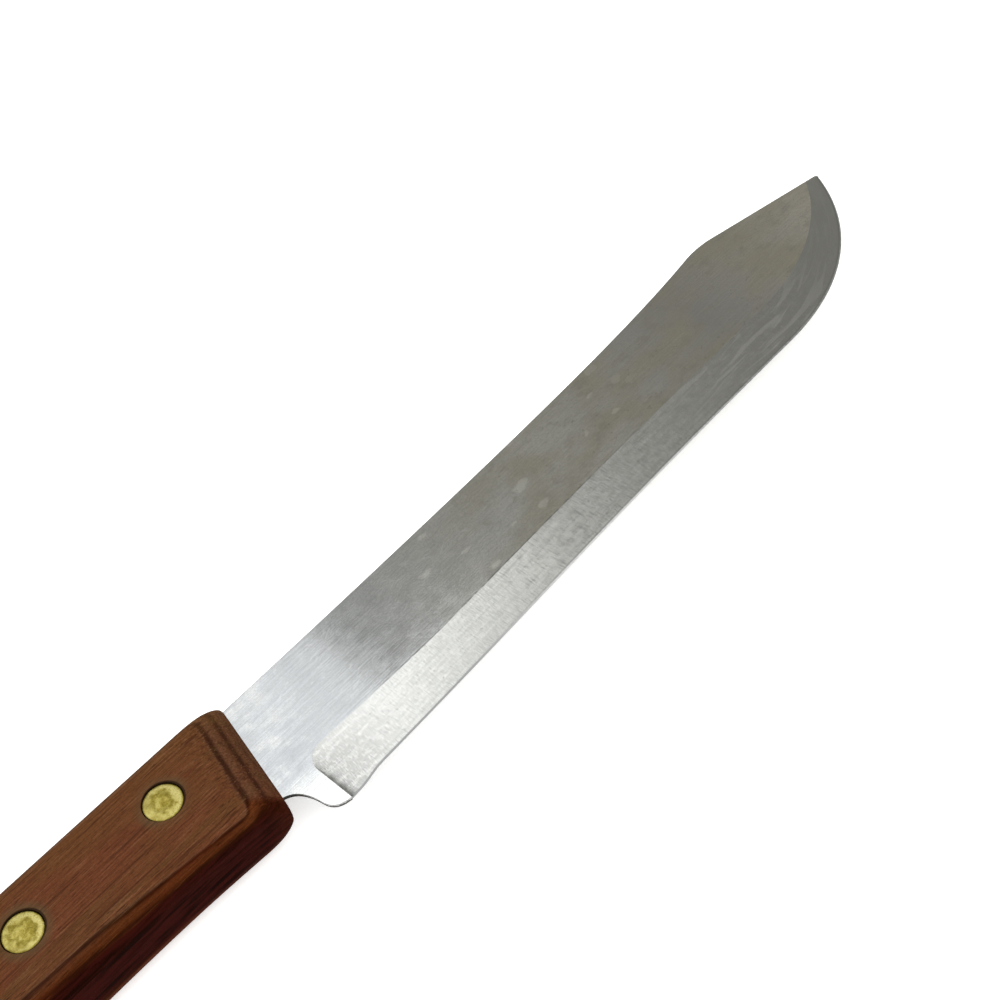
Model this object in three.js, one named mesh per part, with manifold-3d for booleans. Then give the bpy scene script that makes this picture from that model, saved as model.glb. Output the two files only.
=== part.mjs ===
// Carving knife: a stamped, hollow-ground blade whose tang sits in a slot sawn into a one-piece wooden
// handle, held by two-part rivets. Millimetres. The knife lies on its side: +X points to the tip, +Y to
// the spine and +Z up. The origin is on the plane that the knife lies on, below the middle of its box.
// Inside the knife, X is measured from the front of the handle, Y from the top of the tang and Z from
// the middle of the blade's thickness.
import * as THREE from "three";
import { mergeVertices } from "three/addons/utils/BufferGeometryUtils.js";
import Module from "manifold-3d";

const { clamp, degToRad, lerp, smoothstep } = THREE.MathUtils;

// Blade plate
const STOCK = 1; // thickness of the sheet
const BLADE_LENGTH = 203.2; // front of the handle to the tip
const HEEL_DEPTH = 34.6; // tang's top to the lowest point of the heel
const BELLY_DEPTH = 30.6; // tang's top to the edge where the belly starts to rise
const BELLY_LENGTH = 53.5; // start of the belly to the tip
const BELLY_EASE = 26.5; // how far the edge runs on before the belly turns
const TIP_DEPTH = 0.95; // tang's top down to the tip
const TIP_ROUND = 1; // blunt corner at the tip
const TIP_EASE = 18; // how far the belly runs straight into the tip
const TIP_ANGLE = 59.5; // degrees between the belly and X at the tip

// Spine, which sweeps up to a clipped point
const SPINE_RISE = 7.4; // height of the clip's corner above the tang's top
const SPINE_SLOPE = 0.142; // rise per length just behind the clip
const SPINE_SWEEP = 35.5; // length of that steeper stretch
const CLIP_LENGTH = 39.3; // clip's corner to the tip
const CLIP_ROUND = 5; // rounding on each side of the clip's corner

// Heel
const HEEL_BACK = 1.15; // how far the heel tab reaches back behind the top of the handle's front
const CHOIL_RUN = 7.7; // how far behind the handle's front the choil leaves the tang
const CHOIL_DROP = 7.2; // tang's lower edge to the middle of the choil's curve
const HEEL_TAB = 4.2; // length of the heel that is left unground
const HEEL_LOWEST = 1.6; // plunge to the lowest point of the heel
const HEEL_STEP = 0.98; // how far the heel stands below the honed edge ahead of it
const HEEL_STEP_RUN = 8.9; // length over which the edge rises by that step

// Bevel, hollow-ground from both sides
const BEVEL_AT_HEEL = 12.7; // width from the honed edge to the grind line
const BEVEL_WIDTH = 11.4;
const BEVEL_AT_TIP = 3.1;
const BEVEL_NARROWS = 40; // length over which the heel's width runs out
const BEVEL_CORNER = 4.1; // rounded corner where the grind line meets the plunge
const PLUNGE_RUN = 2.6; // length of the concave run-out at the plunge
const HOLLOW = 1.6; // 1 is a flat bevel, more is a deeper hollow
const LAND_WIDTH = 0.4; // honed strip beside the edge
const LAND_THICKNESS = 0.3;
const EDGE_THICKNESS = 0.1;

// Tang and the wood around it
const TANG_HEIGHT = 23.8;
const TANG_COVER = 14; // solid wood behind the tang
const BELLY_WOOD = 2.2; // wood below the tang at the handle's waist
const SLOT_FIT = 0.15; // gap beside the tang in its slot
const SLOT_FLOOR = 0.3; // gap between the choil, where it enters the wood, and the slot's floor

// Handle
const HANDLE_LENGTH = 112;
const HANDLE_THICKNESS = 18;
const FLARE_FRONT = 2.1; // depth that the belly gains from the waist to the front
const FLARE_BUTT = 2.6; // and from the waist to the butt
const WAIST = 54; // front of the handle to the waist
const ROUND_OVER = 5.4; // rounding along the four long edges
const FRONT_SLANT = 0.227; // run per depth by which the front leans back
const SLANT_RUN = 30; // length over which that lean fades out
const NOSE_LENGTH = 13; // rounding of the sides into the front end
const NOSE_FLAT = 5; // width that the front end keeps
const MITRE = 2; // how crisply the rounded edges and ends meet: 1 is soft, more is sharper
const NOSE_TOP_CORNER = 0.5;
const NOSE_BELLY_CORNER = 0.6;
const BUTT_LENGTH = 8; // rounding of the sides into the butt
const BUTT_FLAT = 6;
const BUTT_CORNER = 9;

// Two-part rivets
const RIVET_NAMES = ["front", "middle", "rear"];
const RIVET_FRONT = 21.9; // front of the handle to the first rivet
const RIVET_REAR = 25.5; // last rivet to the butt
const HEAD_DIAMETER = 7.94;
const HEAD_THICKNESS = 1.6;
const HEAD_CHAMFER = 0.2;
const TUBE_DIAMETER = 4.8;
const TUBE_END_GAP = 0.4; // between the tube's end and the other head
const PIN_DIAMETER = 3.2;
const PIN_FIT = 0.1; // gap round the pin in the tube
const PIN_END_GAP = 0.5; // between the pin's end and the bottom of the bore
const BORE_FLOOR = 0.8; // metal between the bore and the head
const HEAD_FIT = 0.15; // gap round and under a head in its counterbore
const HOLE_FIT = 0.2; // gap round the tube in the wood and the tang

// Fineness
const CURVE_STEPS = 24;
const HOLLOW_STEPS = 5;
const CORNER_STEPS = 6;
const NOSE_STEPS = 8;
const ROUND_STEPS = 28;
const HEEL_STATIONS = 20;
const PLUNGE_SHARES = [0.03, 0.1, 0.2, 0.34, 0.5, 0.75];
const STEP_STATIONS = 9;
const EDGE_STATIONS = 14;
const BELLY_STATIONS = 26;
const HANDLE_STATIONS = 12;

const TANG_LENGTH = HANDLE_LENGTH - TANG_COVER;
const HEEL_X = -HEEL_BACK;
const PLUNGE_X = HEEL_X + HEEL_TAB;
const HEEL_LOW_X = PLUNGE_X + HEEL_LOWEST;
const HONED_X = HEEL_LOW_X + HEEL_STEP_RUN;
const HONED_Y = HEEL_STEP - HEEL_DEPTH;
const BELLY_X = BLADE_LENGTH - BELLY_LENGTH;
const CLIP_X = BLADE_LENGTH - CLIP_LENGTH;
const HALF_HANDLE = HANDLE_THICKNESS / 2;
const RIVET_Y = -TANG_HEIGHT / 2;
const RIVET_PITCH = (HANDLE_LENGTH - RIVET_FRONT - RIVET_REAR) / (RIVET_NAMES.length - 1);
const rivetX = (index) => -RIVET_FRONT - index * RIVET_PITCH;

const wasm = await Module();
wasm.setup();

// A geometry as a solid that can be joined or cut.
function solidOf(geometry) {
  const bare = geometry.clone();
  bare.deleteAttribute("normal");
  bare.deleteAttribute("uv");
  const merged = mergeVertices(bare, 1e-4);
  const vertProperties = new Float32Array(merged.attributes.position.array);
  const triVerts = new Uint32Array(merged.index.array);
  return new wasm.Manifold(new wasm.Mesh({ numProp: 3, vertProperties, triVerts }));
}

function geometryOf(solid) {
  const mesh = solid.getMesh();
  const geometry = new THREE.BufferGeometry();
  geometry.setAttribute("position", new THREE.BufferAttribute(mesh.vertProperties, 3));
  geometry.setIndex(new THREE.BufferAttribute(mesh.triVerts, 1));
  geometry.computeVertexNormals();
  return geometry;
}

// A closed skin through rings that follow each other along +X, each anticlockwise as seen from +X.
function loft(rings) {
  const count = rings[0].length;
  const faces = [];
  for (let ring = 0; ring + 1 < rings.length; ring++) {
    for (let step = 0; step < count; step++) {
      const here = ring * count + step;
      const next = ring * count + ((step + 1) % count);
      faces.push(here, next, here + count, next, next + count, here + count);
    }
  }
  const last = (rings.length - 1) * count;
  for (let step = 1; step + 1 < count; step++) {
    faces.push(0, step + 1, step, last, last + step, last + step + 1);
  }
  const geometry = new THREE.BufferGeometry().setFromPoints(rings.flat());
  geometry.setIndex(faces);
  return geometry;
}

// A turned solid about Z, from its radius and height along the profile.
function turned(profile) {
  const points = profile.map(([radius, height]) => new THREE.Vector2(radius, height));
  return new THREE.LatheGeometry(points, ROUND_STEPS).rotateX(Math.PI / 2);
}

function cylinder(radius, low, high) {
  return turned([[0, low], [radius, low], [radius, high], [0, high]]);
}

// Height of an outline at x, where the outline runs along +X.
function heightAt(points, x) {
  const end = Math.max(1, points.findIndex((point) => point.x >= x));
  const [a, b] = [points[end - 1], points[end]];
  return lerp(a.y, b.y, clamp((x - a.x) / Math.max(b.x - a.x, 1e-6), 0, 1));
}

// How far a rounded corner draws in, at a distance from its end.
function cornerInset(distance, radius) {
  const left = clamp(radius - distance, 0, radius);
  return radius - Math.sqrt(radius ** 2 - left ** 2);
}

const spread = (from, to, steps) =>
  Array.from({ length: steps + 1 }, (_, step) => lerp(from, to, step / steps));

// Spine from the end of the tang to the tip
function spinePoints() {
  const clipSlope = (SPINE_RISE + TIP_DEPTH) / CLIP_LENGTH;
  const onSweep = (back) => [CLIP_X - back, SPINE_RISE - back * SPINE_SLOPE];
  const onClip = (ahead) => [CLIP_X + ahead, SPINE_RISE - ahead * clipSlope];
  return new THREE.Path()
    .moveTo(-TANG_LENGTH, 0)
    .lineTo(0, 0)
    .bezierCurveTo(CLIP_X / 2, SPINE_RISE / 8, ...onSweep(SPINE_SWEEP), ...onSweep(CLIP_ROUND))
    .quadraticCurveTo(CLIP_X, SPINE_RISE, ...onClip(CLIP_ROUND))
    .lineTo(...onClip(CLIP_LENGTH - TIP_ROUND))
    .quadraticCurveTo(BLADE_LENGTH, -TIP_DEPTH, BLADE_LENGTH, -TIP_DEPTH - TIP_ROUND / 2)
    .getPoints(CURVE_STEPS);
}

// Lower outline from the end of the tang through the choil, heel and edge to the tip
function edgePoints() {
  const choilY = -TANG_HEIGHT - CHOIL_DROP;
  const tipY = -TIP_DEPTH - TIP_ROUND;
  const tip = degToRad(TIP_ANGLE);
  return new THREE.Path()
    .moveTo(-TANG_LENGTH, -TANG_HEIGHT)
    .lineTo(-CHOIL_RUN, -TANG_HEIGHT)
    .bezierCurveTo(
      -CHOIL_RUN / 2, -TANG_HEIGHT,
      HEEL_X - CHOIL_RUN / 12, lerp(-TANG_HEIGHT, choilY, 0.3),
      HEEL_X, choilY,
    )
    .bezierCurveTo(
      HEEL_X + HEEL_TAB / 10, lerp(choilY, -HEEL_DEPTH, 0.7),
      HEEL_X + HEEL_TAB / 2, -HEEL_DEPTH,
      HEEL_LOW_X, -HEEL_DEPTH,
    )
    .bezierCurveTo(
      lerp(HEEL_LOW_X, HONED_X, 0.4), -HEEL_DEPTH,
      lerp(HEEL_LOW_X, HONED_X, 0.5), HONED_Y,
      HONED_X, HONED_Y,
    )
    .bezierCurveTo(
      lerp(HONED_X, BELLY_X, 0.33), lerp(HONED_Y, -BELLY_DEPTH, 0.3),
      lerp(HONED_X, BELLY_X, 0.56), -BELLY_DEPTH,
      BELLY_X, -BELLY_DEPTH,
    )
    .bezierCurveTo(
      BELLY_X + BELLY_EASE, -BELLY_DEPTH,
      BLADE_LENGTH - TIP_EASE * Math.cos(tip), tipY - TIP_EASE * Math.sin(tip),
      BLADE_LENGTH, tipY,
    )
    .getPoints(CURVE_STEPS);
}

// Blade: rings across the plate, thinned towards the edge ahead of the plunge
function bladeGeometry() {
  const spine = spinePoints();
  const edge = edgePoints();
  const half = STOCK / 2;
  const slopeAt = (x) => heightAt(edge, x + STOCK / 2) - heightAt(edge, x - STOCK / 2);

  function grindHeight(x) {
    const toWidth = smoothstep(x, PLUNGE_X, PLUNGE_X + BEVEL_NARROWS);
    const alongBelly = clamp((x - BELLY_X) / BELLY_LENGTH, 0, 1);
    const width = lerp(lerp(BEVEL_AT_HEEL, BEVEL_WIDTH, toWidth), BEVEL_AT_TIP, alongBelly ** 2);
    const onBelly = alongBelly > 0 ? Math.hypot(1, slopeAt(x) / STOCK) : 1;
    const honed = Math.max(heightAt(edge, x), HONED_Y);
    return honed + width * onBelly - cornerInset(x - PLUNGE_X, BEVEL_CORNER);
  }

  function ring(x) {
    const top = heightAt(spine, x);
    const low = heightAt(edge, x);
    const height = top - low;
    const grind = Math.min(grindHeight(x), top - height / 20);
    const land = low + Math.min(LAND_WIDTH, height / 5);
    const runOut = clamp((x - PLUNGE_X) / PLUNGE_RUN, 0, 1);
    const ground = Math.sqrt(1 - (1 - runOut) ** 2);
    const side = [[top, half]];
    for (const across of spread(0, 1, HOLLOW_STEPS)) {
      const thinned = ground * (1 - (1 - across) ** HOLLOW);
      side.push([lerp(grind, land, across), lerp(half, LAND_THICKNESS / 2, thinned)]);
    }
    side.push([low, lerp(half, EDGE_THICKNESS / 2, ground)]);
    const far = side.map(([y, z]) => [y, -z]).reverse();
    return [...side, ...far].map(([y, z]) => new THREE.Vector3(x, y, z));
  }

  const stations = [
    -TANG_LENGTH,
    ...spread(-CHOIL_RUN, PLUNGE_X, HEEL_STATIONS),
    ...PLUNGE_SHARES.map((share) => PLUNGE_X + share * PLUNGE_RUN),
    ...spread(PLUNGE_X + PLUNGE_RUN, HONED_X, STEP_STATIONS),
    ...spread(HONED_X, BELLY_X, EDGE_STATIONS).slice(1, -1),
    ...spread(BELLY_X, BLADE_LENGTH, BELLY_STATIONS),
  ];
  const plate = solidOf(loft(stations.map(ring)));
  const hole = cylinder(TUBE_DIAMETER / 2 + HOLE_FIT, -STOCK, STOCK);
  return geometryOf(cutAtRivets(plate, hole));
}

// The same hole cut through a solid at every rivet.
function cutAtRivets(solid, hole) {
  return RIVET_NAMES.reduce(
    (left, _, index) => left.subtract(solidOf(hole.clone().translate(rivetX(index), RIVET_Y, 0))),
    solid,
  );
}

// Handle: rounded sections that run from the butt to the bull-nosed front, then the slot and the holes
function handleGeometry() {
  const belly = (x) => {
    const ahead = (x + WAIST) / WAIST;
    const behind = (x + WAIST) / (HANDLE_LENGTH - WAIST);
    const flare = x > -WAIST ? FLARE_FRONT * ahead ** 2 : FLARE_BUTT * behind ** 2;
    return -TANG_HEIGHT - BELLY_WOOD - flare;
  };

  function ring(x, half) {
    const fromNose = -x;
    const fromButt = x + HANDLE_LENGTH;
    const butt = cornerInset(fromButt, BUTT_CORNER);
    const top = -cornerInset(fromNose, NOSE_TOP_CORNER) - butt;
    const low = belly(x) + cornerInset(fromNose, NOSE_BELLY_CORNER) + butt;
    const lean = FRONT_SLANT * clamp(1 + x / SLANT_RUN, 0, 1);
    const inset = HALF_HANDLE - half;
    const corners = [[top - ROUND_OVER, 1], [low + ROUND_OVER, 1],
      [low + ROUND_OVER, -1], [top - ROUND_OVER, -1]];
    return corners.flatMap(([y, side], quarter) =>
      spread(quarter, quarter + 1, CORNER_STEPS).map((turn) => {
        const angle = (turn * Math.PI) / 2;
        const height = y + ROUND_OVER * Math.cos(angle);
        const rounding = ROUND_OVER * (1 - Math.abs(Math.sin(angle)));
        const depth = (inset ** MITRE + rounding ** MITRE) ** (1 / MITRE);
        return new THREE.Vector3(x + lean * height, height, side * (HALF_HANDLE - depth));
      }),
    );
  }

  // Rings of an elliptical end, from its flat to the full thickness: how far in, and the half thickness.
  function endRings(length, flat) {
    const start = Math.asin(flat / HANDLE_THICKNESS);
    return spread(start, Math.PI / 2, NOSE_STEPS).map((angle) => [
      length * (1 - Math.cos(angle) / Math.cos(start)),
      HALF_HANDLE * Math.sin(angle),
    ]);
  }

  const butt = endRings(BUTT_LENGTH, BUTT_FLAT).map(
    ([inward, half]) => ring(inward - HANDLE_LENGTH, half),
  );
  const nose = endRings(NOSE_LENGTH, NOSE_FLAT).map(([inward, half]) => ring(-inward, half));
  const body = spread(BUTT_LENGTH - HANDLE_LENGTH, -NOSE_LENGTH, HANDLE_STATIONS).slice(1, -1);
  const wood = solidOf(loft([...butt, ...body.map((x) => ring(x, HALF_HANDLE)), ...nose.reverse()]));

  const slotLength = TANG_LENGTH + SLOT_FIT + NOSE_LENGTH;
  const frontAtTang = -FRONT_SLANT * TANG_HEIGHT;
  const slotHeight = SLOT_FLOOR - heightAt(edgePoints(), frontAtTang) + ROUND_OVER;
  const slot = new THREE.BoxGeometry(slotLength, slotHeight, STOCK + 2 * SLOT_FIT).translate(
    NOSE_LENGTH - slotLength / 2, ROUND_OVER - slotHeight / 2, 0,
  );
  const seat = HALF_HANDLE - HEAD_THICKNESS - HEAD_FIT;
  const shank = TUBE_DIAMETER / 2 + HOLE_FIT;
  const head = HEAD_DIAMETER / 2 + HEAD_FIT;
  const hole = turned([
    [0, -HANDLE_THICKNESS], [head, -HANDLE_THICKNESS], [head, -seat], [shank, -seat],
    [shank, seat], [head, seat], [head, HANDLE_THICKNESS], [0, HANDLE_THICKNESS],
  ]);
  return geometryOf(cutAtRivets(wood.subtract(solidOf(slot)), hole));
}

// Rivets: the tube enters from the upper side of the knife, the pin from the lower side
const HEAD_SEAT = HALF_HANDLE - HEAD_THICKNESS;
const BORE_END = HEAD_SEAT - BORE_FLOOR;

function headProfile(sign) {
  const radius = HEAD_DIAMETER / 2;
  return [
    [radius, sign * HEAD_SEAT],
    [radius, sign * (HALF_HANDLE - HEAD_CHAMFER)],
    [radius - HEAD_CHAMFER, sign * HALF_HANDLE],
    [0, sign * HALF_HANDLE],
  ];
}

function femaleGeometry() {
  const bore = PIN_DIAMETER / 2 + PIN_FIT;
  const tube = TUBE_DIAMETER / 2;
  const end = TUBE_END_GAP - HEAD_SEAT;
  return turned([
    [0, BORE_END], [bore, BORE_END], [bore, end], [tube, end], [tube, HEAD_SEAT], ...headProfile(1),
  ]);
}

function maleGeometry() {
  const pin = PIN_DIAMETER / 2;
  const end = BORE_END - PIN_END_GAP;
  return turned([...headProfile(-1).reverse(), [pin, -HEAD_SEAT], [pin, end], [0, end]]);
}

const steel = { color: 0x9d9d98, roughness: 0.35, metalness: 1 };
const wood = { color: 0x5f3524, roughness: 0.6, metalness: 0 };
const brass = { color: 0xb5a654, roughness: 0.4, metalness: 1 };

function piece(name, geometry, finish) {
  const mesh = new THREE.Mesh(geometry, new THREE.MeshStandardMaterial(finish));
  mesh.name = name;
  return mesh;
}

const knife = new THREE.Group();
knife.add(piece("blade", bladeGeometry(), steel), piece("handle", handleGeometry(), wood));
RIVET_NAMES.forEach((place, index) => {
  const rivet = new THREE.Group();
  rivet.position.set(rivetX(index), RIVET_Y, 0);
  rivet.add(piece(`rivet_female_${place}`, femaleGeometry(), brass));
  rivet.add(piece(`rivet_male_${place}`, maleGeometry(), brass));
  knife.add(rivet);
});

const box = new THREE.Box3().setFromObject(knife);
const middle = box.getCenter(new THREE.Vector3());
knife.position.set(-middle.x, -middle.y, -box.min.z);

export default new THREE.Group().add(knife);
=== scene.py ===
"""Looks of the carving knife: ground steel, layered wood and filed brass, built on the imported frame.

Sizes are millimetres in the knife's own frame, as in the CAD: X from the front of the handle towards the
tip, Y from the top of the tang towards the spine, and Z from the middle of the blade's thickness.
"""
import math

import bmesh
import bpy
import numpy as np
from mathutils import Matrix, Vector


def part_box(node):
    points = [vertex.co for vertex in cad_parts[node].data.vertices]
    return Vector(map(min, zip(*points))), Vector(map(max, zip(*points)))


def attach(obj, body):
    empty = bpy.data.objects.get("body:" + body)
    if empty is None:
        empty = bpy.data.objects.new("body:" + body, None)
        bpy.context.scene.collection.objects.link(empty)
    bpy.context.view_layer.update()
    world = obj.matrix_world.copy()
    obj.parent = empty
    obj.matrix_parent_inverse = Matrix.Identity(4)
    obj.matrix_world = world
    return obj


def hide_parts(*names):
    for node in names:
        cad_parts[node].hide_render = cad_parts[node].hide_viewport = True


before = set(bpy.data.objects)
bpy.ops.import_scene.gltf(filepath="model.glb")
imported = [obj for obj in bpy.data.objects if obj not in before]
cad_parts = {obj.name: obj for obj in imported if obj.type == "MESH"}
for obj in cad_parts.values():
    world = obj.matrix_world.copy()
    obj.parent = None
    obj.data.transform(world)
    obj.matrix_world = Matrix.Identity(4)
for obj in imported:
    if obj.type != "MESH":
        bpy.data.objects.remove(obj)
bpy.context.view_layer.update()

MM = 0.001

# Blade plate
STOCK = 1  # thickness of the sheet
BLADE_LENGTH = 203.2  # front of the handle to the tip
HEEL_DEPTH = 34.6  # tang's top to the lowest point of the heel
BELLY_DEPTH = 30.6  # tang's top to the edge where the belly starts to rise
BELLY_LENGTH = 53.5  # start of the belly to the tip
BELLY_EASE = 26.5  # how far the edge runs on before the belly turns
TIP_DEPTH = 0.95  # tang's top down to the tip
TIP_ROUND = 1  # blunt corner at the tip
TIP_EASE = 18  # how far the belly runs straight into the tip
TIP_ANGLE = 59.5  # degrees between the belly and X at the tip

# Spine, which sweeps up to a clipped point
SPINE_RISE = 7.4  # height of the clip's corner above the tang's top
SPINE_SLOPE = 0.142  # rise per length just behind the clip
SPINE_SWEEP = 35.5  # length of that steeper stretch
SPINE_EASED = 0.15  # rounding of the spine's two corners
CLIP_LENGTH = 39.3  # clip's corner to the tip
CLIP_ROUND = 5  # rounding on each side of the clip's corner

# Heel
HEEL_BACK = 1.15  # how far the heel tab reaches back behind the top of the handle's front
CHOIL_RUN = 7.7  # how far behind the handle's front the choil leaves the tang
CHOIL_DROP = 7.2  # tang's lower edge to the middle of the choil's curve
HEEL_TAB = 4.2  # length of the heel that is left unground
HEEL_LOWEST = 1.6  # plunge to the lowest point of the heel
HEEL_STEP = 0.98  # how far the heel stands below the honed edge ahead of it
HEEL_STEP_RUN = 8.9  # length over which the edge rises by that step

# Bevel, hollow-ground from both sides
BEVEL_AT_HEEL = 12.7  # width from the honed edge to the grind line
BEVEL_WIDTH = 11.4
BEVEL_AT_TIP = 3.1
BEVEL_NARROWS = 40  # length over which the heel's width runs out
BEVEL_CORNER = 4.1  # rounded corner where the grind line meets the plunge
PLUNGE_RUN = 2.6  # length of the concave run-out at the plunge
HOLLOW = 1.6  # 1 is a flat bevel, more is a deeper hollow
LAND_WIDTH = 0.4  # honed strip beside the edge
LAND_THICKNESS = 0.3
EDGE_THICKNESS = 0.1

# Tang and the wood around it
TANG_HEIGHT = 23.8
TANG_COVER = 14  # solid wood behind the tang
BELLY_WOOD = 2.2  # wood below the tang at the handle's waist
SLOT_FIT = 0.15  # gap beside the tang in its slot
SLOT_FLOOR = 0.3  # gap between the choil, where it enters the wood, and the slot's floor

# Handle
HANDLE_LENGTH = 112
HANDLE_THICKNESS = 18
FLARE_FRONT = 2.1  # depth that the belly gains from the waist to the front
FLARE_BUTT = 2.6  # and from the waist to the butt
WAIST = 54  # front of the handle to the waist
ROUND_OVER = 5.4  # rounding along the four long edges
FRONT_SLANT = 0.227  # run per depth by which the front leans back
SLANT_RUN = 30  # length over which that lean fades out
NOSE_LENGTH = 13  # rounding of the sides into the front end
NOSE_FLAT = 5  # width that the front end keeps
MITRE = 2  # how crisply the rounded edges and ends meet: 1 is soft, more is sharper
NOSE_TOP_CORNER = 0.5
NOSE_BELLY_CORNER = 0.6
BUTT_LENGTH = 8  # rounding of the sides into the butt
BUTT_FLAT = 6
BUTT_CORNER = 9

# Two-part rivets
RIVET_PLACES = ("front", "middle", "rear")
RIVET_FRONT = 21.9  # front of the handle to the first rivet
RIVET_REAR = 25.5  # last rivet to the butt
HEAD_DIAMETER = 7.94
HEAD_THICKNESS = 1.6
HEAD_CHAMFER = 0.2
HEAD_CROWN = 0.05  # how far the filed face falls away towards its rim
HEAD_SUNK = 0.2  # how far the worn heads lie below the wood
TUBE_DIAMETER = 4.8
TUBE_END_GAP = 0.4  # between the tube's end and the other head
PIN_DIAMETER = 3.2
PIN_FIT = 0.1  # gap round the pin in the tube
PIN_END_GAP = 0.5  # between the pin's end and the bottom of the bore
BORE_FLOOR = 0.8  # metal between the bore and the head
HEAD_FIT = 0.15  # gap round and under a head in its counterbore
HOLE_FIT = 0.2  # gap round the tube in the wood and the tang

# Fineness
CURVE_STEPS = 80
SPINE_STEPS = 4
FLAT_STEPS = 6
HOLLOW_STEPS = 14
HEEL_STATIONS = 110
PLUNGE_STATIONS = 24
STEP_STATIONS = 40
EDGE_STATIONS = 90
BELLY_STATIONS = 120
CORNER_STEPS = 14
END_STEPS = 24
BODY_STEPS = 48
ROUND_STEPS = 96
CHAMFER_STEPS = 4
CROWN_STEPS = 4
SHARP_ANGLE = 30  # degrees over which an edge is shaded sharp

# Photograph's camera, in degrees and millimetres
CAMERA_PLACE = (-60.0, -172.9, 241.9)
CAMERA_AZIMUTH = 50.87
CAMERA_ELEVATION = 48.65
CAMERA_ROLL = -11.5
CAMERA_LENS = 53.37
CAMERA_SENSOR = 36
CAMERA_NEAREST = 10  # what is closer isn't drawn

TANG_LENGTH = HANDLE_LENGTH - TANG_COVER
HEEL_X = -HEEL_BACK
PLUNGE_X = HEEL_X + HEEL_TAB
HEEL_LOW_X = PLUNGE_X + HEEL_LOWEST
HONED_X = HEEL_LOW_X + HEEL_STEP_RUN
HONED_Y = HEEL_STEP - HEEL_DEPTH
BELLY_X = BLADE_LENGTH - BELLY_LENGTH
CLIP_X = BLADE_LENGTH - CLIP_LENGTH
HALF_STOCK = STOCK / 2
HALF_HANDLE = HANDLE_THICKNESS / 2
HEAD_SEAT = HALF_HANDLE - HEAD_THICKNESS
RIVET_Y = -TANG_HEIGHT / 2
RIVET_PITCH = (HANDLE_LENGTH - RIVET_FRONT - RIVET_REAR) / (len(RIVET_PLACES) - 1)
RIVET_X = [-RIVET_FRONT - place * RIVET_PITCH for place in range(len(RIVET_PLACES))]

blade_low, blade_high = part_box("blade")
ORIGIN = Vector((
    blade_high.x - BLADE_LENGTH * MM,
    blade_low.y + HEEL_DEPTH * MM,
    (blade_low.z + blade_high.z) / 2,
))
BLADE_TOP = (blade_high.y - ORIGIN.y) / MM


def lerp(a, b, share):
    return a + (b - a) * share


def clamp(value, low=0.0, high=1.0):
    return min(max(value, low), high)


def smoothstep(value, low, high):
    share = clamp((value - low) / (high - low))
    return share * share * (3 - 2 * share)


def in_frame(point):
    """A point of the knife, in millimetres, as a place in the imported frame."""
    return ORIGIN + Vector(point) * MM


# Outlines of the blade
def cubic(a, b, c, d):
    a, b, c, d = (np.array(point, float) for point in (a, b, c, d))
    t = np.linspace(0, 1, CURVE_STEPS + 1)[:, None]
    return (1 - t) ** 3 * a + 3 * (1 - t) ** 2 * t * b + 3 * (1 - t) * t ** 2 * c + t ** 3 * d


def quadratic(a, b, c):
    a, b, c = (np.array(point, float) for point in (a, b, c))
    return cubic(a, lerp(a, b, 2 / 3), lerp(c, b, 2 / 3), c)


def spine_outline():
    clip_slope = (SPINE_RISE + TIP_DEPTH) / CLIP_LENGTH

    def on_sweep(back):
        return CLIP_X - back, SPINE_RISE - back * SPINE_SLOPE

    def on_clip(ahead):
        return CLIP_X + ahead, SPINE_RISE - ahead * clip_slope

    tip = (BLADE_LENGTH, -TIP_DEPTH)
    return np.vstack([
        [(-TANG_LENGTH, 0)],
        cubic((0, 0), (CLIP_X / 2, SPINE_RISE / 8), on_sweep(SPINE_SWEEP), on_sweep(CLIP_ROUND)),
        quadratic(on_sweep(CLIP_ROUND), (CLIP_X, SPINE_RISE), on_clip(CLIP_ROUND))[1:],
        quadratic(on_clip(CLIP_LENGTH - TIP_ROUND), tip, (BLADE_LENGTH, -TIP_DEPTH - TIP_ROUND / 2)),
    ])


def edge_outline():
    choil_y = -TANG_HEIGHT - CHOIL_DROP
    tip_y = -TIP_DEPTH - TIP_ROUND
    tip = math.radians(TIP_ANGLE)
    choil = cubic(
        (-CHOIL_RUN, -TANG_HEIGHT),
        (-CHOIL_RUN / 2, -TANG_HEIGHT),
        (HEEL_X - CHOIL_RUN / 12, lerp(-TANG_HEIGHT, choil_y, 0.3)),
        (HEEL_X, choil_y),
    )
    heel = cubic(
        (HEEL_X, choil_y),
        (HEEL_X + HEEL_TAB / 10, lerp(choil_y, -HEEL_DEPTH, 0.7)),
        (HEEL_X + HEEL_TAB / 2, -HEEL_DEPTH),
        (HEEL_LOW_X, -HEEL_DEPTH),
    )
    step = cubic(
        (HEEL_LOW_X, -HEEL_DEPTH),
        (lerp(HEEL_LOW_X, HONED_X, 0.4), -HEEL_DEPTH),
        (lerp(HEEL_LOW_X, HONED_X, 0.5), HONED_Y),
        (HONED_X, HONED_Y),
    )
    edge = cubic(
        (HONED_X, HONED_Y),
        (lerp(HONED_X, BELLY_X, 0.33), lerp(HONED_Y, -BELLY_DEPTH, 0.3)),
        (lerp(HONED_X, BELLY_X, 0.56), -BELLY_DEPTH),
        (BELLY_X, -BELLY_DEPTH),
    )
    belly = cubic(
        (BELLY_X, -BELLY_DEPTH),
        (BELLY_X + BELLY_EASE, -BELLY_DEPTH),
        (BLADE_LENGTH - TIP_EASE * math.cos(tip), tip_y - TIP_EASE * math.sin(tip)),
        (BLADE_LENGTH, tip_y),
    )
    return np.vstack([[(-TANG_LENGTH, -TANG_HEIGHT)], choil, heel[1:], step[1:], edge[1:], belly[1:]])


SPINE = spine_outline()
EDGE = edge_outline()


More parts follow.
